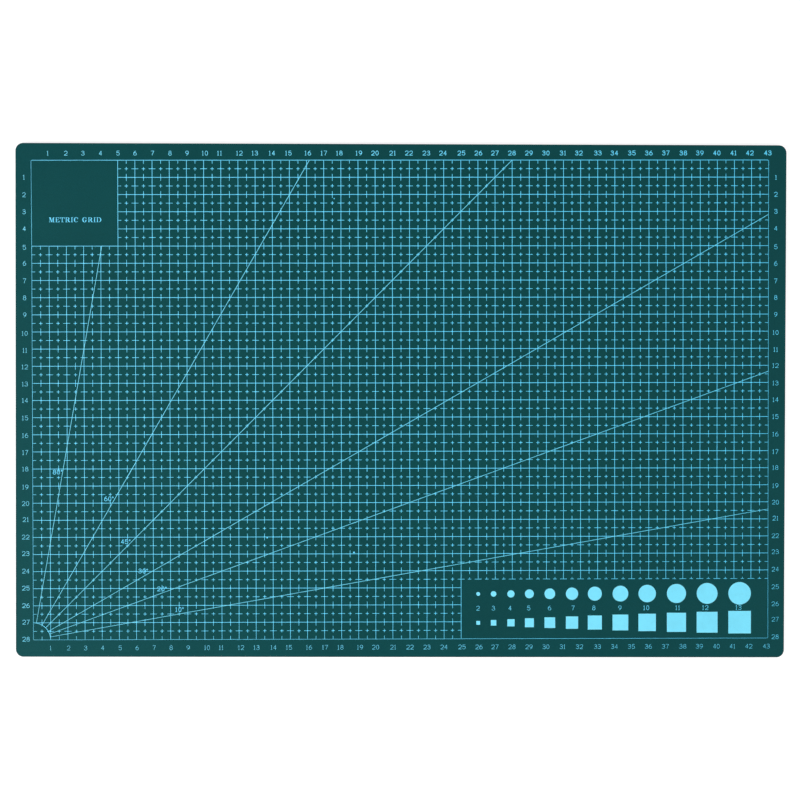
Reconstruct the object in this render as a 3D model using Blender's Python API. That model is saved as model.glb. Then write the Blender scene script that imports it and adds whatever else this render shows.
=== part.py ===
"""A3 self-healing cutting mat, 3 mm thick.

Five die-cut plies bonded face to face, soft healing skins outside and a stiff core inside, with a
screen-printed centimetre scale on the top skin.

Metres. The origin is the centre of the underside, +X runs along the long side, +Y points to the
top edge of the printed scale and +Z is up, out of the working face.
"""

import math

import bmesh
import bpy
from mathutils import Matrix, Vector
from mathutils.geometry import delaunay_2d_cdt

# Mat, metres
MAT_LENGTH = 0.450
MAT_WIDTH = 0.300
MAT_THICKNESS = 0.0030
CORNER_RADIUS = 0.0045

SKIN_THICKNESS = 0.00080  # soft healing PVC, one above and one below
LINER_THICKNESS = 0.00034  # white PVC between each skin and the core
BOND_LINE = 0.00002  # joint between two plies, left as a gap
CORE_THICKNESS = (
    MAT_THICKNESS - 2 * SKIN_THICKNESS - 2 * LINER_THICKNESS - 4 * BOND_LINE
)

TOP_EDGE_ROUND = 0.00025  # the cutting die draws the upper edge over
BOTTOM_EDGE_ROUND = 0.00015
CORNER_SEGMENTS = 14
EDGE_SEGMENTS = 3
LEVEL_TOLERANCE = 1e-6  # vertices closer in height than this are level
SHARP_ANGLE = math.radians(35)

# Printed scale, millimetres, in the print's own axes: origin at the centre of the border.
# Columns and rows are centimetres right of, and below, the border's top left corner.
CM = 10.0
SCALE_COLUMNS = 43
SCALE_ROWS = 28
MAJOR_STEP = 5  # centimetres between the printed lines
GAUGE_PANEL_COLUMN = 25  # left side of the blank gauge panel at the lower right
GAUGE_PANEL_ROW = 24.5  # and its top
TITLE_PANEL_ROW = 5  # the steepest ray stops at the blank title panel

INK_THICKNESS = 0.03
BORDER_WIDTH = 0.30
MAJOR_WIDTH = 0.30
RAY_WIDTH = 0.25  # rays and arc of the protractor

PROTRACTOR_RADIUS = CM
PROTRACTOR_ANGLES = (10, 20, 30, 45, 60, 80)  # degrees up from the bottom border
ARC_STEPS = 24

MERGE_DISTANCE = 1e-5  # stroke corners closer than this become one
FLAT_ANGLE = math.radians(0.05)  # film edges bending less than this are dissolved

# Place of the print on the mat
PRINT_SKEW = math.radians(0.2)  # the screen sits slightly turned on the sheet
PRINT_SHIFT = (0.0, 0.65)  # millimetres
METRES_PER_MM = 0.001


# Shared helpers


def material(name, colour, roughness):
    made = bpy.data.materials.new(name)
    made.use_nodes = True
    shader = made.node_tree.nodes["Principled BSDF"]
    shader.inputs["Base Color"].default_value = (*colour, 1.0)
    shader.inputs["Roughness"].default_value = roughness
    made.diffuse_color = (*colour, 1.0)
    return made


def add_object(name, bm, finish):
    """Turn the bmesh into a smooth-shaded object, creased at its sharp edges."""
    mesh = bpy.data.meshes.new(name)
    bm.to_mesh(mesh)
    bm.free()
    mesh.materials.append(finish)
    mesh.shade_smooth()
    mesh.set_sharp_from_angle(angle=SHARP_ANGLE)
    made = bpy.data.objects.new(name, mesh)
    bpy.context.scene.collection.objects.link(made)


# Plies


def round_edges(bm, edges, radius, segments):
    bmesh.ops.bevel(
        bm,
        geom=edges,
        offset=radius,
        offset_type="OFFSET",
        segments=segments,
        profile=0.5,  # circular arc
        affect="EDGES",
    )


def add_ply(name, low, high, finish, top_round=0.0, bottom_round=0.0):
    """One sheet of the laminate, from height low to height high, with the die's corner radius."""
    bm = bmesh.new()
    bmesh.ops.create_cube(bm, size=1.0)
    bmesh.ops.scale(bm, vec=(MAT_LENGTH, MAT_WIDTH, high - low), verts=bm.verts)
    bmesh.ops.translate(bm, vec=(0, 0, (low + high) / 2), verts=bm.verts)

    upright = [
        e for e in bm.edges if abs(e.verts[0].co.z - e.verts[1].co.z) > LEVEL_TOLERANCE
    ]
    round_edges(bm, upright, CORNER_RADIUS, CORNER_SEGMENTS)
    for height, radius in ((high, top_round), (low, bottom_round)):
        if radius:
            rim = [
                e
                for e in bm.edges
                if all(abs(v.co.z - height) < LEVEL_TOLERANCE for v in e.verts)
            ]
            round_edges(bm, rim, radius, EDGE_SEGMENTS)
    bmesh.ops.recalc_face_normals(bm, faces=bm.faces)
    add_object(name, bm, finish)


def add_laminate():
    """The five plies, stacked upwards from the underside."""
    green = material("healing_pvc", colour=(0.0075, 0.0650, 0.0690), roughness=0.55)
    white = material("liner_pvc", colour=(0.70, 0.72, 0.70), roughness=0.50)
    grey = material("core_board", colour=(0.33, 0.35, 0.35), roughness=0.50)

    # Name, thickness, finish, upper edge round, lower edge round
    stack = (
        ("bottom_healing_sheet", SKIN_THICKNESS, green, 0.0, BOTTOM_EDGE_ROUND),
        ("lower_liner_sheet", LINER_THICKNESS, white, 0.0, 0.0),
        ("core_sheet", CORE_THICKNESS, grey, 0.0, 0.0),
        ("upper_liner_sheet", LINER_THICKNESS, white, 0.0, 0.0),
        ("top_healing_sheet", SKIN_THICKNESS, green, TOP_EDGE_ROUND, 0.0),
    )
    low = 0.0
    for name, thickness, finish, top_round, bottom_round in stack:
        add_ply(name, low, low + thickness, finish, top_round, bottom_round)
        low += thickness + BOND_LINE


# Printed scale: each stroke is the outline of one patch of ink


def at(column, row):
    """The point at a column and row of the scale, in the print's axes."""
    return Vector(
        ((column - SCALE_COLUMNS / 2) * CM, (SCALE_ROWS / 2 - row) * CM)
    )


def polar(angle, radius=1.0):
    """The offset of a point at an angle up from +X."""
    return Vector((math.cos(angle), math.sin(angle))) * radius


def stroke(start, end, width):
    """The rectangle that a straight stroke of ink covers."""
    along = (end - start).normalized()
    side = Vector((-along.y, along.x)) * width / 2
    return [start + side, start - side, end - side, end + side]


def border_strokes():
    """Four sides, each run on by half a width to fill the corners."""
    right = Vector((BORDER_WIDTH / 2, 0))
    up = Vector((0, BORDER_WIDTH / 2))
    strokes = []
    for row in (0, SCALE_ROWS):
        start, end = at(0, row) - right, at(SCALE_COLUMNS, row) + right
        strokes.append(stroke(start, end, BORDER_WIDTH))
    for column in (0, SCALE_COLUMNS):
        start, end = at(column, 0) + up, at(column, SCALE_ROWS) - up
        strokes.append(stroke(start, end, BORDER_WIDTH))
    return strokes


def major_strokes():
    """Five-centimetre lines, cut short where they would cross the gauge panel."""
    strokes = []
    for column in range(MAJOR_STEP, SCALE_COLUMNS, MAJOR_STEP):
        foot = SCALE_ROWS if column <= GAUGE_PANEL_COLUMN else GAUGE_PANEL_ROW
        strokes.append(stroke(at(column, 0), at(column, foot), MAJOR_WIDTH))
    for row in range(MAJOR_STEP, SCALE_ROWS, MAJOR_STEP):
        end = SCALE_COLUMNS if row < GAUGE_PANEL_ROW else GAUGE_PANEL_COLUMN
        strokes.append(stroke(at(0, row), at(end, row), MAJOR_WIDTH))
    return strokes


def protractor_strokes():
    """Rays fanning from the lower left corner, and the quarter arc they start on."""
    corner = at(0, SCALE_ROWS)
    strokes = []
    for angle in PROTRACTOR_ANGLES:
        way = polar(math.radians(angle))
        steepest = angle == max(PROTRACTOR_ANGLES)
        rise = SCALE_ROWS - TITLE_PANEL_ROW if steepest else SCALE_ROWS
        reach = min(SCALE_COLUMNS * CM / way.x, rise * CM / way.y)
        start, end = corner + way * PROTRACTOR_RADIUS, corner + way * reach
        strokes.append(stroke(start, end, RAY_WIDTH))

    inner = PROTRACTOR_RADIUS - RAY_WIDTH / 2
    outer = PROTRACTOR_RADIUS + RAY_WIDTH / 2
    turns = [math.radians(90.0 * i / ARC_STEPS) for i in range(ARC_STEPS + 1)]
    for first, last in zip(turns, turns[1:]):
        ends = ((first, inner), (first, outer), (last, outer), (last, inner))
        strokes.append([corner + polar(turn, radius) for turn, radius in ends])
    return strokes


def joined_strokes(strokes):
    """One flat triangulated sheet covering all the strokes, at height 0."""
    points, outlines = [], []
    for outline in strokes:
        outlines.append([len(points) + i for i in range(len(outline))])
        points += outline
    # 0 asks for the whole triangulation; covered lists the strokes over each face
    corners, _, faces, _, _, covered = delaunay_2d_cdt(
        points, [], outlines, 0, MERGE_DISTANCE, True
    )
    inked = [face for face, strokes_over in zip(faces, covered) if strokes_over]

    bm = bmesh.new()
    used = sorted(set(sum(inked, [])))
    verts = {i: bm.verts.new((*corners[i], 0.0)) for i in used}
    for face in inked:
        bm.faces.new([verts[i] for i in face])
    bmesh.ops.dissolve_limit(
        bm,
        angle_limit=FLAT_ANGLE,
        use_dissolve_boundaries=False,
        verts=bm.verts,
        edges=bm.edges,
    )
    bmesh.ops.triangulate(bm, faces=bm.faces)
    return bm


def add_printed_scale():
    """The ink as one closed film standing on the top skin."""
    ink = material("scale_ink", colour=(0.205, 0.760, 0.991), roughness=0.45)
    bm = joined_strokes(border_strokes() + major_strokes() + protractor_strokes())
    lifted = bmesh.ops.extrude_face_region(bm, geom=list(bm.faces))
    bmesh.ops.translate(
        bm,
        vec=(0, 0, INK_THICKNESS),
        verts=[v for v in lifted["geom"] if isinstance(v, bmesh.types.BMVert)],
    )
    bmesh.ops.recalc_face_normals(bm, faces=bm.faces)

    shift_x, shift_y = (shift * METRES_PER_MM for shift in PRINT_SHIFT)
    bm.transform(
        Matrix.Translation((shift_x, shift_y, MAT_THICKNESS))
        @ Matrix.Rotation(PRINT_SKEW, 4, "Z")
        @ Matrix.Scale(METRES_PER_MM, 4)
    )
    add_object("printed_scale", bm, ink)


def main():
    for leftover in list(bpy.data.objects):
        bpy.data.objects.remove(leftover, do_unlink=True)
    add_laminate()
    add_printed_scale()


main()
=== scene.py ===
"""The looks of an A3 self-healing cutting mat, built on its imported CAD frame.

The mat lies flat with its printed face up (+Z). The five plies are the CAD's own solids with
procedural PVC finishes. The printed scale is drawn here in full, as thin closed films of ink that lie
on the top skin: border, centimetre lines, chain-dashed half-centimetre lines, protractor, numerals,
hole and square gauges and a title.

Print sizes are in millimetres, in the print's own axes: origin at the centre of the border, x right,
y up. Everything in the scene itself is in metres.
"""

import math
import bpy
import numpy as np
from mathutils import Matrix, Vector
from mathutils.geometry import delaunay_2d_cdt


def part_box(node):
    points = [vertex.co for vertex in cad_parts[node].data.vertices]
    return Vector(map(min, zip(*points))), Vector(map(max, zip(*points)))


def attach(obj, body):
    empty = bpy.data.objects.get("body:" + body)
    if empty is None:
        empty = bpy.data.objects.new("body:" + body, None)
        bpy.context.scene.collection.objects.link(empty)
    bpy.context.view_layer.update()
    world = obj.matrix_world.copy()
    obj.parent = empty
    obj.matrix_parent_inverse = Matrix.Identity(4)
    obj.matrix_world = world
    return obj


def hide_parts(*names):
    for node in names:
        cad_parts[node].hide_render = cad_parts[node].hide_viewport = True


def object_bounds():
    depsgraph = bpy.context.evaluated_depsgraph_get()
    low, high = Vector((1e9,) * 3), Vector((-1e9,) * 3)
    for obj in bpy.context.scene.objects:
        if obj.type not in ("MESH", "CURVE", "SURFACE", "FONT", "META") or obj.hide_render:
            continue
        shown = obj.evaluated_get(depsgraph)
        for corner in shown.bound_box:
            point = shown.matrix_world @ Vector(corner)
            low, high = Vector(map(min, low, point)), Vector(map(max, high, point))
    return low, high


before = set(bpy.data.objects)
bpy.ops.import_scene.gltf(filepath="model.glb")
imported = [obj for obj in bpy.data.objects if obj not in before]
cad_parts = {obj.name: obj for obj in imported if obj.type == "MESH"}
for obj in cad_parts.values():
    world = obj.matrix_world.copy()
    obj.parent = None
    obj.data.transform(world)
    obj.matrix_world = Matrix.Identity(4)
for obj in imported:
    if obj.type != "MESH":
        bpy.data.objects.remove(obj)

cad_box = [[float(x) for x in corner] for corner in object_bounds()]

# ---------------------------------------------------------------- the print's place on the sheet

CM = 10.0
COLUMNS, ROWS = 43, 28
HALF_WIDTH, HALF_HEIGHT = COLUMNS * CM / 2, ROWS * CM / 2
SKIN_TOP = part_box("top_healing_sheet")[1].z
_low, _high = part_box("printed_scale")
INK_TOP = _high.z
PRINT_CENTRE = (_low + _high) / 2
# The film's box is the border's outline turned by the skew, so its length gives the skew.
CAD_LINE = 0.30
SKEW = ((_high.x - _low.x) * 1000 - (COLUMNS * CM + CAD_LINE)) / (ROWS * CM + CAD_LINE)
PRINT_TO_SCENE = (
    Matrix.Translation((PRINT_CENTRE.x, PRINT_CENTRE.y, 0.0))
    @ Matrix.Rotation(SKEW, 4, "Z")
    @ Matrix.Scale(0.001, 4)
)

# How far the artwork is drawn out to the left at the left edge, and the distances over which that
# fades away from the left edge and from the top
EDGE_SHIFT, EDGE_FADE, TOP_FADE = 0.22, 16.0, 20.0

TITLE_PANEL = 5  # centimetres, the blank square at the upper left
GAUGE_COLUMN, GAUGE_ROW = 25, 24.5  # upper left corner of the blank panel at the lower right


def at(column, row):
    """The point that many centimetres right of, and below, the border's upper left corner."""
    return Vector(((column - COLUMNS / 2) * CM, (ROWS / 2 - row) * CM))


def settled(x, y):
    """Where a point of the artwork lands in the scene."""
    by_edge = math.exp(-(x + HALF_WIDTH) / EDGE_FADE)
    by_top = math.exp((y - HALF_HEIGHT) / TOP_FADE)
    shift = EDGE_SHIFT * by_edge * (1.0 + by_top)
    return PRINT_TO_SCENE @ Vector((x - shift, y, 0.0))


# ---------------------------------------------------------------- pen strokes

# Change in line width over the sheet, as shares of the width. Across and up run from -1 to 1.
PRESS_ACROSS = (0.035, -0.14)  # by across, and its square
PRESS_UP = (0.10, 0.05)  # by up, and its cube
FOOT_LOSS, FOOT_FADE = 0.07, 25.0  # at the lower edge, and the distance it fades over
CORNER_LOSS, CORNER_FADE = 0.15, 75.0  # at the upper left corner, likewise

LINE_STEP = 50.0  # longest stretch of a line between changes of width
PEN_TIP_SIDES = 10


def press(point):
    """How wide ink spreads there: most at the upper middle of the sheet, where the squeegee presses
    hardest, and least along the lower edge and in the upper left corner."""
    across, up = point.x / HALF_WIDTH, point.y / HALF_HEIGHT
    spread = 1.0 + PRESS_ACROSS[0] * across + PRESS_ACROSS[1] * across**2
    spread = spread + PRESS_UP[0] * up + PRESS_UP[1] * up**3
    by_foot = math.exp(-(point.y + HALF_HEIGHT) / FOOT_FADE)
    by_corner = math.exp(-(point - at(0, 0)).length / CORNER_FADE)
    return spread - FOOT_LOSS * by_foot - CORNER_LOSS * by_corner


def half_across(start, end, width):
    """Half the width of a stroke, as a step to its left."""
    along = (end - start).normalized()
    return Vector((-along.y, along.x)) * width / 2


def bar(start, end, width):
    """A straight stroke with square ends."""
    side = half_across(start, end, width)
    return [start + side, start - side, end - side, end + side]


def line(start, end, width):
    """A long printed line, whose width follows the squeegee's pressure."""
    count = math.ceil((end - start).length / LINE_STEP)
    side = half_across(start, end, width)
    stops = [start.lerp(end, i / count) for i in range(count + 1)]
    return [p - side * press(p) for p in stops] + [
        p + side * press(p) for p in reversed(stops)
    ]


def outline(*points):
    return [Vector(p) for p in points]


def rect(x0, y0, x1, y1):
    return outline((x0, y0), (x1, y0), (x1, y1), (x0, y1))


def disc(centre, radius, steps):
    turns = [2 * math.pi * (i + 0.5) / steps for i in range(steps)]
    return [centre + Vector((math.cos(turn), math.sin(turn))) * radius for turn in turns]


def arc(cx, cy, rx, ry, start, end, steps):
    """Points along an ellipse, angles in degrees."""
    turns = [math.radians(start + (end - start) * i / steps) for i in range(steps + 1)]
    return [(cx + rx * math.cos(turn), cy + ry * math.sin(turn)) for turn in turns]


def between(inner, outer):
    """The four-sided pieces between two arcs with the same number of points."""
    return [
        outline(inner[i], outer[i], outer[i + 1], inner[i + 1])
        for i in range(len(inner) - 1)
    ]


def pen(points, width, closed=False):
    """The pieces a round pen covers along a smooth line."""
    points = outline(*points)
    count = len(points)
    sides = []
    for i, point in enumerate(points):
        ways = []
        if closed or i:
            ways.append((point - points[i - 1]).normalized())
        if closed or i < count - 1:
            ways.append((points[(i + 1) % count] - point).normalized())
        along = sum(ways, Vector((0, 0))).normalized()
        # A mitre keeps the width at a bend, up to twice the pen's radius.
        reach = width / 2 / max(0.5, along.dot(ways[0]))
        off = Vector((-along.y, along.x)) * reach
        sides.append((point + off, point - off))
    pieces = []
    for i in range(count if closed else count - 1):
        (a, b), (c, d) = sides[i], sides[(i + 1) % count]
        pieces.append([a, b, d, c])
    if not closed:
        pieces += [disc(end, width / 2, PEN_TIP_SIDES) for end in (points[0], points[-1])]
    return pieces


# ---------------------------------------------------------------- numerals, in a plain draughting hand

DIGIT_HEIGHT = 2.48
DIGIT_GAP = 0.45
# Extra gap in a number that begins with a 1, and in one with a 1 elsewhere
FIRST_ONE_GAP, LATER_ONE_GAP = 0.30, 0.12
# The degree ring: its centre past the last digit, its height above the middle as a share of the
# digit's height, its radius and its pen's share of the digits' pen
RING_OFF, RING_RISE, RING_RADIUS, RING_PEN = 1.02, 0.33, 0.32, 0.9


def turned(strokes):
    return [([(1 - x, 1 - y) for x, y in points], closed) for points, closed in strokes]


_SIX = [
    (arc(0.50, 0.31, 0.50, 0.31, 0, 345, 22), True),
    ([(0.01, 0.36), (0.06, 0.56), (0.22, 0.76), (0.46, 0.91), (0.74, 1.0)], False),
]
# Digit: its width in millimetres between stroke centres, and its strokes in a unit box, each
# (points, closed)
DIGITS = {
    "0": (1.50, [(arc(0.5, 0.5, 0.5, 0.5, 0, 345, 23), True)]),
    "1": (
        0.60,
        [
            ([(0.55, 0.0), (0.55, 1.0)], False),
            ([(0.55, 1.0), (0.30, 0.90), (-0.05, 0.84)], False),
            ([(0.0, 0.0), (1.0, 0.0)], False),
        ],
    ),
    "2": (
        1.68,
        [
            (
                arc(0.50, 0.715, 0.50, 0.285, 168, -28, 12)
                + [(0.78, 0.42), (0.46, 0.27), (0.16, 0.14), (0.0, 0.0)],
                False,
            ),
            ([(0.0, 0.0), (1.0, 0.0)], False),
        ],
    ),
    "3": (
        1.58,
        [
            (arc(0.46, 0.765, 0.45, 0.235, 158, -80, 12), False),
            (arc(0.46, 0.280, 0.54, 0.280, 88, -158, 14), False),
            ([(0.30, 0.545), (0.54, 0.545)], False),
        ],
    ),
    "4": (
        1.52,
        [
            ([(0.74, 0.0), (0.74, 1.0)], False),
            ([(0.74, 1.0), (0.0, 0.30)], False),
            ([(0.0, 0.30), (1.0, 0.30)], False),
        ],
    ),
    "5": (
        1.64,
        [
            ([(0.92, 1.0), (0.14, 1.0)], False),
            ([(0.14, 1.0), (0.06, 0.55)], False),
            (arc(0.49, 0.33, 0.51, 0.33, 134, -156, 16), False),
        ],
    ),
    "6": (1.62, _SIX),
    "7": (
        1.56,
        [
            ([(0.0, 1.0), (1.0, 1.0)], False),
            ([(1.0, 1.0), (0.66, 0.56), (0.46, 0.24), (0.38, 0.0)], False),
        ],
    ),
    "8": (
        1.62,
        [
            (arc(0.50, 0.765, 0.40, 0.235, 0, 342, 19), True),
            (arc(0.50, 0.275, 0.50, 0.275, 0, 345, 22), True),
        ],
    ),
    "9": (1.62, turned(_SIX)),
}


def label(text, centre, width, degree=False):
    """The strokes of a number whose digits are centred at that point, drawn with that pen."""
    digits = [DIGITS[character] for character in text]
    gap = DIGIT_GAP + width
    if "1" in text:
        gap += FIRST_ONE_GAP if text[0] == "1" else LATER_ONE_GAP
    left = centre.x - (sum(across for across, _ in digits) + gap * (len(text) - 1)) / 2
    pieces = []
    for across, strokes in digits:
        for points, closed in strokes:
            placed = [
                (left + x * across, centre.y + (y - 0.5) * DIGIT_HEIGHT) for x, y in points
            ]
            pieces += pen(placed, width, closed)
        left += across + gap
    if degree:
        ring = Vector((left - gap + RING_OFF, centre.y + RING_RISE * DIGIT_HEIGHT))
        circle = arc(ring.x, ring.y, RING_RADIUS, RING_RADIUS, 0, 330, 11)
        pieces += pen(circle, width * RING_PEN, closed=True)
    return pieces


# ---------------------------------------------------------------- title, in upright serif capitals

# Stroke widths, as shares of the cap height
THICK, THIN, SERIF = 0.170, 0.062, 0.058


def bowl(cx, cy, rx, ry, thick, start, end, steps):
    """Between an ellipse and a smaller one: thick at the sides, and thin above and below."""
    return between(
        arc(cx, cy, rx - thick, ry - SERIF, start, end, steps),
        arc(cx, cy, rx, ry, start, end, steps),
    )


def open_bowl(end):
    """The round of a C or a G, with the beak at its upper end."""
    return [
        *bowl(0.47, 0.5, 0.47, 0.525, 0.23, 44, end, 26),
        outline((0.80, 0.62), (0.85, 0.62), (0.85, 1.0), (0.70, 0.88)),
    ]


def stem(x, low=0.0, high=1.0, thick=THICK):
    return rect(x, low, x + thick, high)


def foot(x0, x1, y=0.0):
    return rect(x0, y, x1, y + SERIF)


def head(x0, x1):
    return foot(x0, x1, 1 - SERIF)


LETTERS = {  # character: (width, pieces), cap height 1
    "M": (
        1.20,
        [
            stem(0.11, thick=THIN),
            stem(0.86),
            outline((0.36, 1.0), (0.56, 0.0), (0.66, 0.0), (0.11, 1.0)),
            outline((0.56, 0.0), (0.64, 0.0), (0.92, 1.0), (0.84, 1.0)),
            outline((0.11, 1.0), (0.52, 0.0), (0.66, 0.0), (0.38, 1.0)),
            foot(0.0, 0.32),
            foot(0.74, 1.20),
            head(0.0, 0.36),
            head(0.84, 1.20),
        ],
    ),
    "E": (
        0.84,
        [
            stem(0.10),
            foot(0.0, 0.80),
            head(0.0, 0.76),
            foot(0.34, 0.60, 0.47),
            outline((0.62, 0.0), (0.84, 0.0), (0.84, 0.32), (0.79, 0.32)),
            outline((0.76, 0.70), (0.80, 0.70), (0.80, 1.0), (0.60, 1.0)),
            outline((0.52, 0.505), (0.60, 0.36), (0.60, 0.65), (0.56, 0.65)),
        ],
    ),
    "T": (
        0.92,
        [
            stem(0.34),
            foot(0.20, 0.72),
            head(0.0, 0.92),
            outline((0.0, 0.68), (0.04, 0.68), (0.20, 1.0), (0.0, 1.0)),
            outline((0.88, 0.68), (0.92, 0.68), (0.92, 1.0), (0.72, 1.0)),
        ],
    ),
    "R": (
        1.02,
        [
            stem(0.10),
            foot(0.0, 0.46),
            head(0.0, 0.50),
            foot(0.30, 0.50, 0.47),
            *bowl(0.46, 0.735, 0.39, 0.265, 0.22, -90, 90, 14),
            outline((0.42, 0.50), (0.70, 0.0), (0.96, 0.0), (0.66, 0.52)),
            foot(0.70, 1.02),
        ],
    ),
    "I": (0.46, [stem(0.11), foot(0.0, 0.46), head(0.0, 0.46)]),
    "C": (0.90, open_bowl(318)),
    "G": (1.04, [*open_bowl(322), stem(0.64, 0.08, 0.44), foot(0.52, 1.0, 0.40)]),
    "D": (
        1.04,
        [
            stem(0.10),
            foot(0.0, 0.50),
            head(0.0, 0.50),
            *bowl(0.44, 0.5, 0.58, 0.5, 0.24, -90, 90, 20),
        ],
    ),
}
TITLE_WORDS = ("METRIC", "GRID")
TITLE_LEFT, TITLE_RIGHT, TITLE_BASE = -205.0, -174.5, 103.95
TITLE_CAP = 2.78
LETTER_GAP = 0.15  # share of the cap height


def title():
    """Both words, with the space between them set so that they fill their line."""
    widths = [
        sum(LETTERS[c][0] for c in word) + LETTER_GAP * (len(word) - 1)
        for word in TITLE_WORDS
    ]
    space = (TITLE_RIGHT - TITLE_LEFT) / TITLE_CAP - sum(widths)
    pieces, left = [], TITLE_LEFT
    for word, across in zip(TITLE_WORDS, widths):
        x = left
        for character in word:
            wide, shapes = LETTERS[character]
            corner = Vector((x, TITLE_BASE))
            pieces += [[corner + p * TITLE_CAP for p in shape] for shape in shapes]
            x += (wide + LETTER_GAP) * TITLE_CAP
        left += (across + space) * TITLE_CAP
    return pieces


# ---------------------------------------------------------------- flat shapes from pieces

MERGE = 1e-5  # points nearer than this become one
TOUCHING = 1e-3  # rim points nearer than this are passed over when judging a turn
STRAIGHT = 1e-4  # a rim point that stands out less than this is dropped


def joined(pieces):
    """One flat triangle mesh of everything the pieces cover: (points, triangles wound upwards)."""
    points, outlines = [], []
    for piece in pieces:
        turn = sum(
            piece[i - 1].x * piece[i].y - piece[i].x * piece[i - 1].y
            for i in range(len(piece))
        )
        piece = piece if turn > 0 else piece[::-1]
        outlines.append(list(range(len(points), len(points) + len(piece))))
        points += piece
    corners, _, faces, _, _, cover = delaunay_2d_cdt(points, [], outlines, 0, MERGE, True)
    points, rim = plain_rim(corners, [face for face, over in zip(faces, cover) if over])
    corners, edges, faces, _, sources, _ = delaunay_2d_cdt(points, rim, [], 0, MERGE, True)
    inked = inked_faces(points, rim, corners, edges, faces, sources)
    return np.array(corners, float), np.array([faces[i] for i in inked], int)


def plain_rim(corners, faces):
    """The outline of those triangles, with points only where it turns: (points, edges)."""
    sides = {(face[k - 1], face[k]) for face in faces for k in range(3)}
    after, before = {}, {}
    for a, b in sorted(sides):
        if (b, a) not in sides:
            after.setdefault(a, []).append(b)
            before.setdefault(b, []).append(a)

    def beyond(i, links):
        """The nearest rim point that way that doesn't all but touch this one."""
        j = links[i][0]
        while j != i and len(after[j]) == 1 and (corners[j] - corners[i]).length < TOUCHING:
            j = links[j][0]
        return corners[j]

    def turns(i):
        if len(after[i]) > 1:
            return True
        start = beyond(i, before)
        along = (beyond(i, after) - start).normalized()
        off = corners[i] - start
        return abs(along.x * off.y - along.y * off.x) > STRAIGHT or off.dot(along) < 0

    stay = [i for i in after if turns(i)]
    number = {i: k for k, i in enumerate(stay)}
    rim = []
    for i in stay:
        for j in after[i]:
            while j not in number:
                j = after[j][0]
            rim.append((number[i], number[j]))
    return [corners[i] for i in stay], rim


def inked_faces(points, rim, corners, edges, faces, sources):
    """The numbers of the triangles that hold ink, which lies to the left of each rim edge. Each patch
    between the rims is inked if more of its sides say so than not, by length."""
    owner = {(face[k - 1], face[k]): i for i, face in enumerate(faces) for k in range(3)}
    votes, walls = [0.0] * len(faces), set()
    for (a, b), source in zip(edges, sources):
        if source:
            side = corners[b] - corners[a]
            lean = 0.0
            for start, end in (rim[i] for i in source):
                lean += side.dot((points[end] - points[start]).normalized())
            for key, vote in (((a, b), lean), ((b, a), -lean)):
                if key in owner:
                    votes[owner[key]] += vote
            walls |= {(a, b), (b, a)}
    inked, seen = [], set()
    for first in range(len(faces)):
        if first in seen:
            continue
        seen.add(first)
        patch, fresh = [], [first]
        while fresh:
            i = fresh.pop()
            patch.append(i)
            for k in range(3):
                side = (faces[i][k], faces[i][k - 1])
                near = owner.get(side)
                if near is not None and near not in seen and side not in walls:
                    seen.add(near)
                    fresh.append(near)
        if sum(votes[i] for i in patch) > 0:
            inked += patch
    return sorted(inked)


def islands(points, faces):
    """A number for each triangle, the same for all triangles that are joined through points."""
    group = np.arange(len(points))
    while True:
        low = group[faces].min(axis=1)
        new = group.copy()
        for k in range(3):
            np.minimum.at(new, faces[:, k], low)
        new = new[new]
        if (new == group).all():
            return group[faces[:, 0]]
        group = new


# ---------------------------------------------------------------- border, grid and protractor

# Ink line widths
COLUMN_WIDTH = 0.322
ROW_WIDTH = 0.348
CHAIN_WIDTH = 0.300
BLEED = 0.345  # ink creeps this far along the lines from where two of them cross
LONG_DASH, SHORT_DASH = 4.0, 2.0
BORDER_WIDTHS = {"top": 0.322, "left": 0.235, "bottom": 0.242, "right": 0.215}
BORDER_CORNER = 0.7
BORDER_CORNER_STEPS = 6

RAYS = (10, 20, 30, 45, 60, 80)  # degrees
RAY_WIDTH = 0.325
PROTRACTOR_RADIUS = 10.0
ARC_WIDTH = 0.25
ARC_STEPS = 24


def span(place, gauge_edge, full, short):
    """Where a line starts and ends, in centimetres, so that it keeps out of both blank panels."""
    return (
        TITLE_PANEL if place < TITLE_PANEL else 0,
        full if place <= gauge_edge else short,
    )


def column_span(column):
    return span(column, GAUGE_COLUMN, ROWS, GAUGE_ROW)


def row_span(row):
    return span(row, GAUGE_ROW, COLUMNS, GAUGE_COLUMN)


def chain(fixed, upright, start, end):
    """The dashes of one half-centimetre line: a long one on each centimetre, a short one half way."""
    dashes = []
    for step in range(math.floor(start * 2), math.floor(end * 2) + 1):
        centre = step / 2
        half = (LONG_DASH if step % 2 == 0 else SHORT_DASH) / 2 / CM
        low, high = max(start, centre - half), min(end, centre + half)
        if upright:
            a, b = at(fixed, low), at(fixed, high)
        else:
            a, b = at(low, fixed), at(high, fixed)
        dashes.append(bar(a, b, CHAIN_WIDTH * press((a + b) / 2)))
    return dashes


def crossing(column, row, across, up):
    """The little spread of ink in the four corners where two lines cross."""
    centre = at(column, row)
    x, y = ((width * press(centre) / 2 + BLEED) for width in (across, up))
    return [centre + corner for corner in outline((x, 0.0), (0.0, y), (-x, 0.0), (0.0, -y))]


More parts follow.
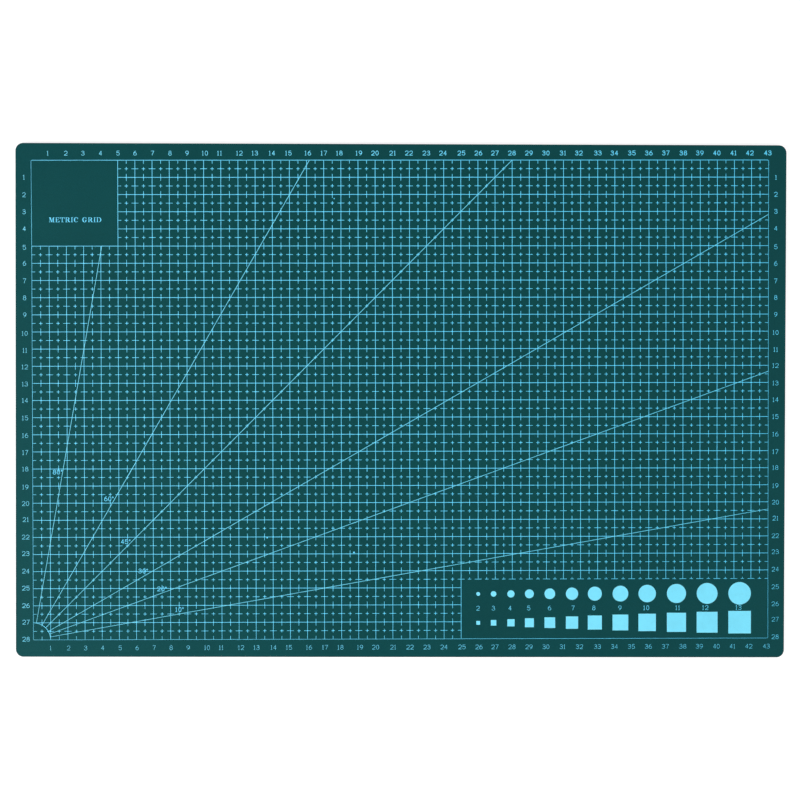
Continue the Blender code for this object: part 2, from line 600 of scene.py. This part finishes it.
def grid():
    pieces = []
    for column in range(1, COLUMNS):
        start, end = column_span(column)
        pieces.append(line(at(column, start), at(column, end), COLUMN_WIDTH))
    for row in range(1, ROWS):
        start, end = row_span(row)
        pieces.append(line(at(start, row), at(end, row), ROW_WIDTH))
    for i in range(ROWS):
        pieces += chain(i + 0.5, False, *row_span(i + 0.5))
    for i in range(COLUMNS):
        pieces += chain(i + 0.5, True, *column_span(i + 0.5))
    for i in range(1, COLUMNS * 2):
        for j in range(1, ROWS * 2):
            column, row = i / 2, j / 2
            in_title = column <= TITLE_PANEL and row <= TITLE_PANEL
            in_gauges = column >= GAUGE_COLUMN and row >= GAUGE_ROW
            if not in_title and not in_gauges:
                across = CHAIN_WIDTH if i % 2 else COLUMN_WIDTH
                up = CHAIN_WIDTH if j % 2 else ROW_WIDTH
                pieces.append(crossing(column, row, across, up))
    return pieces


def border():
    """Four sides with small rounded corners."""
    widths, radius = BORDER_WIDTHS, BORDER_CORNER
    right, top = HALF_WIDTH, HALF_HEIGHT
    pieces = []
    for name, y in (("top", top), ("bottom", -top)):
        ends = outline((-right + radius, y), (right - radius, y))
        pieces.append(line(*ends, widths[name]))
    for name, x in (("left", -right), ("right", right)):
        ends = outline((x, -top + radius), (x, top - radius))
        pieces.append(line(*ends, widths[name]))
    # Which way each corner lies from the middle, and the angle its arc starts at
    for way_x, way_y, first in ((1, 1, 0), (-1, 1, 90), (-1, -1, 180), (1, -1, 270)):
        centre = (way_x * (right - radius), way_y * (top - radius))
        side = widths["right" if way_x > 0 else "left"]
        side *= press(Vector((way_x * right, centre[1])))
        cross = widths["top" if way_y > 0 else "bottom"]
        cross *= press(Vector((centre[0], way_y * top)))
        sweep = (first, first + 90, BORDER_CORNER_STEPS)
        pieces += between(
            arc(*centre, radius - side / 2, radius - cross / 2, *sweep),
            arc(*centre, radius + side / 2, radius + cross / 2, *sweep),
        )
    return pieces


def protractor():
    """Rays from the lower left corner to the border, or to the title panel, and a small arc."""
    corner = at(0, ROWS)
    pieces = []
    for angle in RAYS:
        way = Vector((math.cos(math.radians(angle)), math.sin(math.radians(angle))))
        top = ROWS - TITLE_PANEL if angle == max(RAYS) else ROWS
        reach = min(COLUMNS * CM / way.x, top * CM / way.y)
        start = corner + way * PROTRACTOR_RADIUS
        pieces.append(line(start, corner + way * reach, RAY_WIDTH))
    inner, outer = (
        arc(*corner, radius, radius, 0, 90, ARC_STEPS)
        for radius in (PROTRACTOR_RADIUS - ARC_WIDTH / 2, PROTRACTOR_RADIUS + ARC_WIDTH / 2)
    )
    return pieces + between(inner, outer)


# Where each angle's label is centred, millimetres right of and above the protractor's corner
ANGLE_LABELS = {
    10: (84.6, 17.6),
    20: (74.3, 29.7),
    30: (63.4, 40.2),
    45: (53.2, 57.4),
    60: (43.5, 82.5),
    80: (13.7, 98.2),
}
ANGLE_PEN = 0.30


def angle_labels():
    pieces = []
    for angle, place in ANGLE_LABELS.items():
        centre = at(0, ROWS) + Vector(place)
        pieces += label(str(angle), centre, ANGLE_PEN, degree=True)
    return pieces


# Three stray drops of ink between the lines: x, y and radius
DROPS = ((-27.7, -89.2, 0.50), (-78.5, -80.5, 0.42), (-38.9, 117.6, 0.38))
DROP_SIDES = 14


def drops():
    return [disc(Vector((x, y)), radius, DROP_SIDES) for x, y, radius in DROPS]


# ---------------------------------------------------------------- edge numerals and gauges

# The lettering was set by hand, so each number stands a little off its line: these are the shifts
# along the edge, in millimetres, from number 1 on.
NUMERAL_SHIFTS = {
    "top": (
        -0.48, -0.02, -0.13, 0.04, 0.22, 0.11, 0.30, 0.48, 0.38, 0.85, -0.70,
        0.94, -0.03, -0.13, -0.51, 0.85, 0.18, -0.79, 0.58, -0.09, 0.12, -0.26,
        -0.05, -0.42, 0.37, 0.30, -0.07, -0.14, -0.22, -0.29, -0.36, -1.01, 0.10,
        -0.26, -0.03, -0.09, -0.15, 0.08, -0.26, -0.32, -0.66, -1.01, -0.47,
    ),
    "bottom": (
        -0.11, 0.40, 0.32, 0.24, 0.46, 0.39, 0.32, 0.25, 0.18, 1.28, -0.53,
        1.16, 0.22, 0.16, -0.78, 0.92, 0.28, -0.65, 0.77, -0.16, 0.08, 0.04,
        -0.01, -0.05, 0.49, 0.45, -0.17, -0.21, -0.24, -0.28, -0.60, -0.63, -0.07,
        -0.10, -0.12, -0.15, -0.17, 0.11, -0.21, -0.22, -0.83, -1.13, -0.85,
    ),
    "left": (
        0.13, -0.07, 0.03, 0.13, -0.66, 0.02, -0.19, -0.10, -0.02, -0.82,
        -0.74, -0.38, -0.31, 0.06, -0.17, -0.40, -0.34, 0.01, -0.52, -0.17,
        0.46, 0.22, 0.56, 0.31, 0.35, 0.09, 0.42, 0.45,
    ),
    "right": (
        -0.12, -0.06, 0.01, 0.06, -0.76, -0.41, -0.65, -0.31, -0.27, -0.81,
        -0.77, -0.15, -0.40, -0.08, -0.05, -0.31, -0.58, 0.03, -0.54, -0.23,
        0.37, 0.09, 0.69, 0.40, 0.11, 0.11, 1.0, 0.70,
    ),
}  # fmt: skip
NUMERAL_LINES = {"top": 144.1, "bottom": -144.8, "left": -219.2, "right": 219.3}
# Pen width at number 1, half way and at the last number
NUMERAL_PENS = {
    "top": (0.265, 0.365, 0.405),
    "bottom": (0.145, 0.192, 0.167),
    "left": (0.245, 0.18, 0.21),
    "right": (0.285, 0.208, 0.178),
}


def edge_numerals():
    pieces = []
    for edge, shifts in NUMERAL_SHIFTS.items():
        for number, shift in enumerate(shifts, 1):
            along = (number - 1) / (len(shifts) - 1)
            width = float(np.interp(along, (0.0, 0.5, 1.0), NUMERAL_PENS[edge]))
            if edge in ("top", "bottom"):
                place = Vector((at(number, 0).x + shift, NUMERAL_LINES[edge]))
            else:
                place = Vector((NUMERAL_LINES[edge], at(0, number).y + shift))
            pieces += label(str(number), place, width)
    return pieces


# Solid round and square marks: size, x of both marks, x of the label between them
GAUGES = (
    (2, 45.0, 44.9), (3, 54.0, 53.9), (4, 64.2, 63.6), (5, 75.0, 74.6),
    (6, 87.0, 86.8), (7, 100.0, 100.6), (8, 113.4, 112.8), (9, 128.4, 128.1),
    (10, 144.1, 143.6), (11, 161.3, 162.0), (12, 179.3, 178.3), (13, 198.4, 197.8),
)  # fmt: skip
HOLE_LINE, SQUARE_LINE, GAUGE_LABEL_LINE = -113.7, -130.65, -122.05
INK_SPREAD = 0.25  # a solid mark comes out this much wider
GAUGE_PEN = 0.23


def gauges():
    pieces = []
    for size, x, _ in GAUGES:
        half = (size + INK_SPREAD) / 2
        pieces.append(disc(Vector((x, HOLE_LINE)), half, steps=32 + 4 * size))
        pieces.append(rect(x - half, SQUARE_LINE - half, x + half, SQUARE_LINE + half))
    return pieces


def gauge_labels():
    pieces = []
    for size, _, x in GAUGES:
        pieces += label(str(size), Vector((x, GAUGE_LABEL_LINE)), GAUGE_PEN)
    return pieces


# ---------------------------------------------------------------- materials


class Nodes:
    """A short way to write a node tree: each call adds a node and wires its inputs."""

    def __init__(self, name):
        self.material = bpy.data.materials.new(name)
        self.material.use_nodes = True
        self.tree = self.material.node_tree
        self.shader = self.tree.nodes["Principled BSDF"]
        self.place = self.add("ShaderNodeTexCoord").outputs["Object"]

    def add(self, kind, settings=None, **inputs):
        node = self.tree.nodes.new(kind)
        for key, value in (settings or {}).items():
            setattr(node, key, value)
        for key, value in inputs.items():
            self.wire(node.inputs[key.replace("_", " ")], value)
        return node

    def wire(self, socket, value):
        if isinstance(value, bpy.types.NodeSocket):
            self.tree.links.new(value, socket)
        else:
            socket.default_value = value

    def noise(self, size_mm, detail=2.0, roughness=0.5, stretch=None):
        """Noise whose features are about that many millimetres across, 0 to 1."""
        place = self.place
        if stretch:
            place = self.add("ShaderNodeMapping", Vector=place, Scale=stretch).outputs[0]
        return self.add(
            "ShaderNodeTexNoise",
            Vector=place,
            Scale=1000.0 / size_mm,
            Detail=detail,
            Roughness=roughness,
        ).outputs["Fac"]

    def ramp(self, value, over, to=(0.0, 1.0)):
        """The value, with the range `over` mapped onto the range `to` and clamped."""
        return self.add(
            "ShaderNodeMapRange",
            Value=value,
            From_Min=over[0],
            From_Max=over[1],
            To_Min=to[0],
            To_Max=to[1],
        ).outputs[0]

    def math(self, kind, a, b=0.0):
        node = self.add("ShaderNodeMath", {"operation": kind})
        for socket, value in zip(node.inputs, (a, b, 0.0)):
            self.wire(socket, value)
        return node.outputs[0]

    def mix(self, share, a, b, blend="MIX"):
        """Colour a with that share of colour b."""
        node = self.add("ShaderNodeMix", {"data_type": "RGBA", "blend_type": blend})
        for index, value in ((0, share), (6, a), (7, b)):
            self.wire(node.inputs[index], (*value, 1.0) if isinstance(value, tuple) else value)
        return node.outputs[2]

    def grey(self, value):
        return self.add(
            "ShaderNodeCombineColor", Red=value, Green=value, Blue=value
        ).outputs[0]

    def bump(self, height, depth_mm, strength=1.0, normal=None):
        node = self.add(
            "ShaderNodeBump", Distance=depth_mm / 1000, Strength=strength, Height=height
        )
        if normal is not None:
            self.wire(node.inputs["Normal"], normal)
        return node.outputs[0]

    def finish(self, colour, roughness, normal, specular):
        for key, value in (
            ("Base Color", colour),
            ("Roughness", roughness),
            ("Normal", normal),
            ("Specular IOR Level", specular),
        ):
            self.wire(self.shader.inputs[key], value)
        return self.material


GREEN = (0.0012, 0.0533, 0.0586)
GREEN_MOTTLE = (1.8, 1.10, 0.98)  # times the green
# Grain tones: a painted highlight for the grain's peaks and painted shade for its pits, the hollows of
# its bump
GRAIN_PAINTED_HIGHLIGHT, GRAIN_PAINTED_SHADE = (0.004, 0.086, 0.094), (0.0005, 0.032, 0.037)
SHEARED_GREEN = (0.016, 0.092, 0.098)
LINER, LINER_FLECK = (0.60, 0.62, 0.59), (0.70, 0.72, 0.70)
CORE, CORE_FLECK = (0.29, 0.31, 0.31), (0.36, 0.38, 0.37)
DUST = (0.10, 0.13, 0.12)
# Inks at the left and the right end of the sheet. Thin strokes hold less ink and look bluer, more
# so towards the right.
SOLID_INKS = (0.205, 0.765, 0.985), (0.205, 0.765, 0.985)
LINE_INKS = (0.165, 0.690, 0.980), (0.106, 0.662, 0.995)
LETTER_INKS = (0.205, 0.735, 0.985), (0.122, 0.690, 0.992)
RAY_INKS = (0.194, 0.705, 0.930), (0.135, 0.690, 0.965)  # along the protractor lines
PINHOLE = (0.030, 0.190, 0.230)
RAY_EDGE = (0.36, 0.42)  # distances from a ray's centre over which its own ink fades out


def dimmed(colour, factor):
    return tuple(c * factor for c in colour)


def cut_face(nodes):
    """1 on the die-cut sides of a sheet, 0 on its flat faces."""
    parts = nodes.add("ShaderNodeSeparateXYZ")
    geometry = nodes.add("ShaderNodeNewGeometry")
    nodes.wire(parts.inputs[0], geometry.outputs["True Normal"])
    upward = nodes.math("ABSOLUTE", parts.outputs["Z"])
    return nodes.ramp(upward, over=(0.75, 0.35))


def skin_finish(name):
    """Matt dark teal PVC: fine moulded grain with a painted highlight on its peaks and painted shade
    in its pits, faint clouding, and sheared sides.
    """
    nodes = Nodes(name)
    cloud = nodes.noise(size_mm=70.0, detail=3.0, roughness=0.55)
    mottle = nodes.noise(size_mm=3.2, detail=3.0, roughness=0.6)
    grain = nodes.noise(size_mm=0.34, roughness=0.6)
    side = cut_face(nodes)
    shear = nodes.noise(size_mm=0.16, roughness=0.6, stretch=(1.0, 1.0, 0.06))

    clouding = nodes.ramp(cloud, over=(0.35, 0.65))
    colour = nodes.mix(clouding, dimmed(GREEN, 0.94), dimmed(GREEN, 1.08))
    mottling = nodes.ramp(mottle, over=(0.30, 0.70), to=(0.0, 0.45))
    mottled = tuple(c * factor for c, factor in zip(GREEN, GREEN_MOTTLE))
    colour = nodes.mix(mottling, colour, mottled)
    # Painted highlight on the grain's peaks and painted shade in its pits, from the same noise that
    # raises the grain's bump
    painted_peak_highlight = nodes.ramp(grain, over=(0.50, 0.72), to=(0.0, 0.55))
    colour = nodes.mix(painted_peak_highlight, colour, GRAIN_PAINTED_HIGHLIGHT)
    painted_pit_shade = nodes.ramp(grain, over=(0.46, 0.28), to=(0.0, 0.50))
    colour = nodes.mix(painted_pit_shade, colour, GRAIN_PAINTED_SHADE)
    streaks = nodes.ramp(shear, over=(0.35, 0.75), to=(0.1, 0.75))
    colour = nodes.mix(nodes.math("MULTIPLY", side, streaks), colour, SHEARED_GREEN)
    rough = nodes.ramp(mottle, over=(0.3, 0.7), to=(0.50, 0.62))
    rough = nodes.math("ADD", rough, nodes.math("MULTIPLY", side, 0.12))

    pebble = nodes.add(
        "ShaderNodeTexVoronoi",
        {"feature": "SMOOTH_F1"},
        Vector=nodes.place,
        Scale=1000.0 / 0.55,  # pebbles 0.55 mm across
    ).outputs["Distance"]
    flat = nodes.math("SUBTRACT", 1.0, side)
    pebbled = nodes.math("MULTIPLY", flat, 0.8)
    normal = nodes.bump(pebble, depth_mm=0.060, strength=pebbled)
    normal = nodes.bump(grain, depth_mm=0.030, strength=0.8, normal=normal)
    sheared = nodes.math("MULTIPLY", side, 0.8)
    normal = nodes.bump(shear, depth_mm=0.050, strength=sheared, normal=normal)
    return nodes.finish(colour, rough, normal, specular=0.10)


def board_finish(name, colour, fleck, roughness):
    """A plain inner ply, seen on its cut edge: sheared lines, faint dust and flecks."""
    nodes = Nodes(name)
    shear = nodes.noise(size_mm=0.18, roughness=0.6, stretch=(1.0, 1.0, 0.08))
    cloud = nodes.noise(size_mm=9.0, detail=3.0, roughness=0.6)
    dust = nodes.noise(size_mm=0.8, detail=3.0, roughness=0.7)
    tone = nodes.mix(nodes.ramp(cloud, over=(0.35, 0.65), to=(0.0, 0.6)), colour, fleck)
    streaks = nodes.ramp(shear, over=(0.50, 0.75), to=(0.0, 0.45))
    tone = nodes.mix(streaks, tone, dimmed(colour, 0.72))
    tone = nodes.mix(nodes.ramp(dust, over=(0.60, 0.75), to=(0.0, 0.35)), tone, DUST)
    rough = nodes.ramp(shear, over=(0.3, 0.7), to=(roughness - 0.06, roughness + 0.08))
    normal = nodes.bump(shear, depth_mm=0.05, strength=0.7)
    normal = nodes.bump(dust, depth_mm=0.03, strength=0.3, normal=normal)
    return nodes.finish(tone, rough, normal, specular=0.25)


def ray_share(nodes):
    """1 along the protractor lines, 0 elsewhere."""
    place = nodes.add(
        "ShaderNodeMapping",
        {"vector_type": "TEXTURE"},
        Vector=nodes.place,
        Location=PRINT_TO_SCENE @ at(0, ROWS).to_3d(),
        Rotation=(0.0, 0.0, SKEW),
        Scale=(0.001, 0.001, 0.001),
    ).outputs[0]
    nearest = 1.0
    for angle in RAYS:
        turn = math.radians(angle)
        off = nodes.add("ShaderNodeVectorMath", {"operation": "DOT_PRODUCT"})
        nodes.wire(off.inputs[0], place)
        nodes.wire(off.inputs[1], (math.sin(turn), -math.cos(turn), 0.0))
        off = nodes.math("ABSOLUTE", off.outputs["Value"])
        nearest = nodes.math("MINIMUM", off, nearest)
    return nodes.ramp(nearest, over=RAY_EDGE, to=(1.0, 0.0))


def ink_finish(name, inks, ray_inks=None):
    """Screen ink: a slightly uneven layer with pinholes. Each pair of colours is for the left and
    the right end of the sheet."""
    nodes = Nodes(name)
    across = nodes.add("ShaderNodeSeparateXYZ", Vector=nodes.place).outputs["X"]
    across = nodes.ramp(across, over=(cad_box[0][0], cad_box[1][0]))
    shade = nodes.mix(across, *inks)
    if ray_inks:
        shade = nodes.mix(ray_share(nodes), shade, nodes.mix(across, *ray_inks))
    body = nodes.noise(size_mm=7.0, detail=3.0, roughness=0.55)
    weave = nodes.noise(size_mm=0.9, detail=3.0, roughness=0.65)
    pin = nodes.noise(size_mm=0.28, detail=1.0)
    uneven = nodes.math(
        "MULTIPLY",
        nodes.ramp(body, over=(0.30, 0.70), to=(0.96, 1.02)),
        nodes.ramp(weave, over=(0.55, 0.80), to=(1.0, 0.93)),
    )
    colour = nodes.mix(1.0, shade, nodes.grey(uneven), blend="MULTIPLY")
    pinholes = nodes.ramp(pin, over=(0.70, 0.80), to=(0.0, 0.50))
    colour = nodes.mix(pinholes, colour, PINHOLE)
    rough = nodes.ramp(weave, over=(0.3, 0.7), to=(0.42, 0.56))
    normal = nodes.bump(weave, depth_mm=0.012, strength=0.4)
    normal = nodes.bump(pin, depth_mm=0.008, strength=0.5, normal=normal)
    return nodes.finish(colour, rough, normal, specular=0.15)


# ---------------------------------------------------------------- the object


def put(name, data):
    """A new object in the scene."""
    made = bpy.data.objects.new(name, data)
    bpy.context.scene.collection.objects.link(made)
    return made


def film(name, points, faces, material):
    """A closed film of ink over those triangles, standing on the skin."""
    used, faces = np.unique(faces, return_inverse=True)
    faces = faces.reshape(-1, 3)
    count = len(used)
    ends = np.concatenate([faces[:, [0, 1]], faces[:, [1, 2]], faces[:, [2, 0]]])
    sides = {(int(a), int(b)) for a, b in ends}
    rim = sorted((a, b) for a, b in sides if (b, a) not in sides)
    flat = [settled(x, y) for x, y in points[used]]
    verts = [(v.x, v.y, z) for z in (SKIN_TOP, INK_TOP) for v in flat]
    polygons = (
        [tuple(int(i) + count for i in face) for face in faces]
        + [tuple(int(i) for i in face[::-1]) for face in faces]
        + [(a, b, b + count, a + count) for a, b in rim]
    )
    mesh = bpy.data.meshes.new(name)
    mesh.from_pydata(verts, [], polygons)
    mesh.validate()
    mesh.materials.append(material)
    made = put(name, mesh)
    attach(made, "root")
    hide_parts("printed_scale")


def dress(node, material):
    """Gives a CAD node its finish; its shape stays as it is."""
    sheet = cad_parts[node]
    sheet.data.materials.clear()
    sheet.data.materials.append(material)
    return sheet


skin = skin_finish("healing_skin")
liner = board_finish("liner_pvc", LINER, LINER_FLECK, roughness=0.50)
core = board_finish("core_board", CORE, CORE_FLECK, roughness=0.55)
solid_ink = ink_finish("scale_ink", SOLID_INKS)
line_ink = ink_finish("scale_ink_lines", LINE_INKS, RAY_INKS)
letter_ink = ink_finish("scale_ink_letters", LETTER_INKS)

for node, material, slot in (
    ("top_healing_sheet", skin, "healing_skin"),
    ("upper_liner_sheet", liner, "liner"),
    ("core_sheet", core, "core"),
    ("lower_liner_sheet", liner, "liner"),
    ("bottom_healing_sheet", skin, "healing_skin"),
):
    dress(node, material)

# The border and all lines, angle labels and drops are joined, then parted into the connected network
# of lines and whatever stands free of it, mostly the crosses at the half-centimetre points.
points, faces = joined(grid() + border() + protractor() + angle_labels() + drops())
part = islands(points, faces)
numbers, sizes = np.unique(part, return_counts=True)
network = part == numbers[sizes.argmax()]
film("print_grid_lines", points, faces[network], line_ink)
film("print_half_centimetre_marks", points, faces[~network], line_ink)
film("print_numerals", *joined(edge_numerals() + gauge_labels()), letter_ink)
film("print_hole_and_square_gauges", *joined(gauges()), solid_ink)
film("print_title", *joined(title()), line_ink)

# ---------------------------------------------------------------- floor, light and camera

BACKDROP = (0.93, 0.93, 0.93, 1.0)
WHITE = (1.0, 1.0, 1.0, 1.0)
FLOOR_GREYS = (0.31, 0.31, 0.31), (0.33, 0.33, 0.33)
FLOOR_GLOW = 0.78
FLOOR_FADE = (0.35, 1.3)  # metres from the middle where the backdrop begins and is full
FLOOR_RADIUS, FLOOR_SIDES, FLOOR_Z = 9.0, 96, -0.0001
ROOM_FILL = 0.12


def floor_finish():
    """White and brightly lit round the mat, fading into the plain backdrop."""
    nodes = Nodes("pale_floor")
    colour = nodes.mix(nodes.noise(size_mm=900.0), *FLOOR_GREYS)
    normal = nodes.bump(nodes.noise(size_mm=2.0), depth_mm=0.02, strength=0.1)
    nodes.finish(colour, roughness=0.75, normal=normal, specular=0.1)
    nodes.wire(nodes.shader.inputs["Emission Color"], WHITE)
    nodes.wire(nodes.shader.inputs["Emission Strength"], FLOOR_GLOW)
    away = nodes.add("ShaderNodeVectorMath", {"operation": "LENGTH"})
    nodes.wire(away.inputs[0], nodes.place)
    sweep = nodes.add("ShaderNodeEmission", Color=BACKDROP, Strength=1.0)
    blend = nodes.add("ShaderNodeMixShader")
    nodes.wire(blend.inputs[0], nodes.ramp(away.outputs["Value"], over=FLOOR_FADE))
    nodes.wire(blend.inputs[1], nodes.shader.outputs[0])
    nodes.wire(blend.inputs[2], sweep.outputs[0])
    out = next(x for x in nodes.tree.nodes if x.type == "OUTPUT_MATERIAL")
    nodes.wire(out.inputs["Surface"], blend.outputs[0])
    return nodes.material


def floor():
    material = floor_finish()
    mesh = bpy.data.meshes.new("floor")
    turns = [2 * math.pi * i / FLOOR_SIDES for i in range(FLOOR_SIDES)]
    rim = [
        (FLOOR_RADIUS * math.cos(turn), FLOOR_RADIUS * math.sin(turn), FLOOR_Z)
        for turn in turns
    ]
    mesh.from_pydata(rim, [], [tuple(range(FLOOR_SIDES))])
    mesh.materials.append(material)
    put("floor", mesh)


def softbox(name, place, size, power):
    """A soft studio light aimed at the middle of the mat."""
    data = bpy.data.lights.new(name, "AREA")
    data.shape = "RECTANGLE"
    data.size, data.size_y = size
    data.energy = power
    lamp = put(name, data)
    lamp.location = place
    lamp.rotation_euler = (-Vector(place)).to_track_quat("-Z", "Y").to_euler()
    lamp.visible_camera = False


def surroundings():
    """A pale room that gives a little even fill and shows plain and pale behind the floor."""
    world = bpy.data.worlds.new("studio")
    bpy.context.scene.world = world
    world.use_nodes = True
    tree = world.node_tree
    tree.nodes.clear()
    out = tree.nodes.new("ShaderNodeOutputWorld")

    def background(colour, strength):
        node = tree.nodes.new("ShaderNodeBackground")
        node.inputs[0].default_value = colour
        node.inputs[1].default_value = strength
        return node

    seen = background(BACKDROP, strength=1.0)
    fill = background(WHITE, strength=ROOM_FILL)
    path = tree.nodes.new("ShaderNodeLightPath")
    mix = tree.nodes.new("ShaderNodeMixShader")
    tree.links.new(path.outputs["Is Camera Ray"], mix.inputs[0])
    tree.links.new(fill.outputs[0], mix.inputs[1])
    tree.links.new(seen.outputs[0], mix.inputs[2])
    tree.links.new(mix.outputs[0], out.inputs[0])


def camera():
    """The view is almost straight down from 1.3 m."""
    data = bpy.data.cameras.new("camera")
    data.lens = 100.0
    data.sensor_width = 36.0
    data.clip_start = 0.05
    made = put("camera", data)
    made.location = (-0.014405, 0.024519, 1.301892)
    made.rotation_euler = [math.radians(a) for a in (-1.05416, -0.60398, 0.12403)]
    bpy.context.scene.camera = made


floor()
surroundings()
# Places and sizes in metres, power in watts
softbox("key_left", place=(-0.80, -0.27, 0.66), size=(0.6, 0.6), power=10.1)
softbox("fill_right", place=(1.5, -0.22, 1.25), size=(0.9, 0.9), power=21.0)
softbox("fill_back", place=(0.1, 1.8, 1.5), size=(1.2, 0.9), power=4.5)
softbox("fill_front", place=(-0.1, -1.8, 1.5), size=(1.2, 0.9), power=5.9)
camera()

bpy.context.scene.view_settings.view_transform = "Standard"
bpy.context.scene.view_settings.look = "None"
